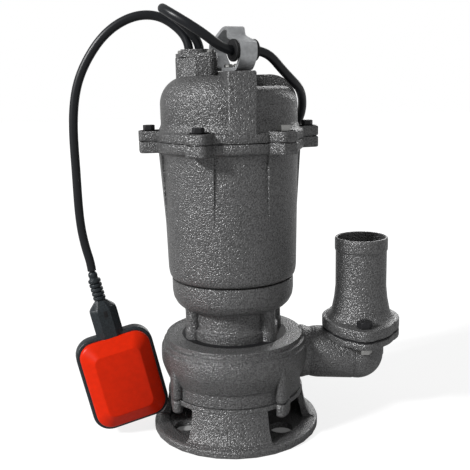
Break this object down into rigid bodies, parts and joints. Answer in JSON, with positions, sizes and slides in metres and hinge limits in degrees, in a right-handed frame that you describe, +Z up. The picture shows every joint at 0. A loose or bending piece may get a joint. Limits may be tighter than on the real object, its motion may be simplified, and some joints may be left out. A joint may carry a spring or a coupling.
{
  "type": "submersible sump pump",
  "caption": "Cast-iron submersible sewage pump with a strainer foot, volute with side outlet and hose spigot, domed motor cover, lifting strap and a float switch on its lead.",
  "frame": {"origin": "on the shaft's axis, at the underside of the foot", "axes": "+Z up along the shaft, +X towards the outlet, -Y the pictured front"},
  "size_m": [0.331, 0.3268, 0.4196],
  "materials": {
    "painted_cast_iron": "grainy grey paint on cast iron",
    "plated_steel": "plated",
    "blackened_steel": "blackened, semi-gloss",
    "galvanized_steel": "galvanized",
    "cast_bronze": "as cast",
    "copper_wire": "enamelled copper",
    "stacked_laminations": "stacked sheet edges",
    "seal_ceramic": "lapped",
    "black_rubber": "matte",
    "cord_jacket": "smooth, semi-matte",
    "black_plastic": "moulded",
    "pale_plastic": "moulded",
    "red_plastic": "moulded, semi-gloss"
  },
  "bodies": {
    "pump": {"inlet_base": "painted_cast_iron", "base_screw_1": "plated_steel", "base_screw_2": "plated_steel", "base_screw_3": "plated_steel", "volute_casing": "painted_cast_iron", "bearing_housing": "painted_cast_iron", "oil_plug": "plated_steel", "outlet_gasket": "black_rubber", "hose_spigot": "painted_cast_iron", "outlet_bolt_1": "blackened_steel", "outlet_bolt_2": "blackened_steel", "outlet_nut_1": "plated_steel", "outlet_nut_2": "plated_steel", "seal_fixed": "seal_ceramic", "motor_casing": "painted_cast_iron", "stator_core": "stacked_laminations", "winding_upper": "copper_wire", "winding_lower": "copper_wire", "lower_bearing": "plated_steel", "upper_bearing": "plated_steel", "bearing_bracket": "painted_cast_iron", "top_cover": "painted_cast_iron", "cover_bolt_1": "blackened_steel", "cover_bolt_2": "blackened_steel", "cover_bolt_3": "blackened_steel", "cover_bolt_4": "blackened_steel", "cover_bolt_5": "blackened_steel", "cover_bolt_6": "blackened_steel", "capacitor": "pale_plastic", "capacitor_clip": "plated_steel", "gland_rubber": "black_rubber", "gland_plate": "painted_cast_iron", "gland_screw_1": "plated_steel", "gland_screw_2": "plated_steel", "handle": "galvanized_steel", "handle_screw_1": "plated_steel", "handle_screw_2": "plated_steel", "cord_holder": "black_rubber", "float_lead": "cord_jacket", "mains_lead": "cord_jacket", "mains_coil": "cord_jacket", "plug_body": "black_plastic", "plug_pin_1": "plated_steel", "plug_pin_2": "plated_steel"},
    "rotor": {"shaft": "plated_steel", "impeller": "cast_bronze", "impeller_nut": "plated_steel", "impeller_washer": "plated_steel", "seal_rotating": "seal_ceramic", "rotor_core": "stacked_laminations"},
    "float": {"float_rim": "black_plastic", "float_shell_front": "red_plastic", "float_shell_back": "red_plastic", "float_boot": "black_plastic", "ball_cage": "black_plastic", "micro_switch": "black_plastic", "switch_lever": "plated_steel"},
    "ball": {"float_ball": "plated_steel"}
  },
  "joints": [
    {"name": "rotor_spin", "type": "hinge", "parent": "pump", "child": "rotor", "pos_m": [0, 0, 0.2], "axis": [0, 0, 1], "continuous": true},
    {"name": "float_swing", "type": "hinge", "parent": "pump", "child": "float", "pos_m": [-0.1384, -0.018, 0.166], "axis": [0, 1, 0], "range_deg": [0, 75]},
    {"name": "ball_slide", "type": "slide", "parent": "float", "child": "ball", "axis": [-0.2164, 0, 0.9763], "range_m": [0, 0.016]}
  ]
}
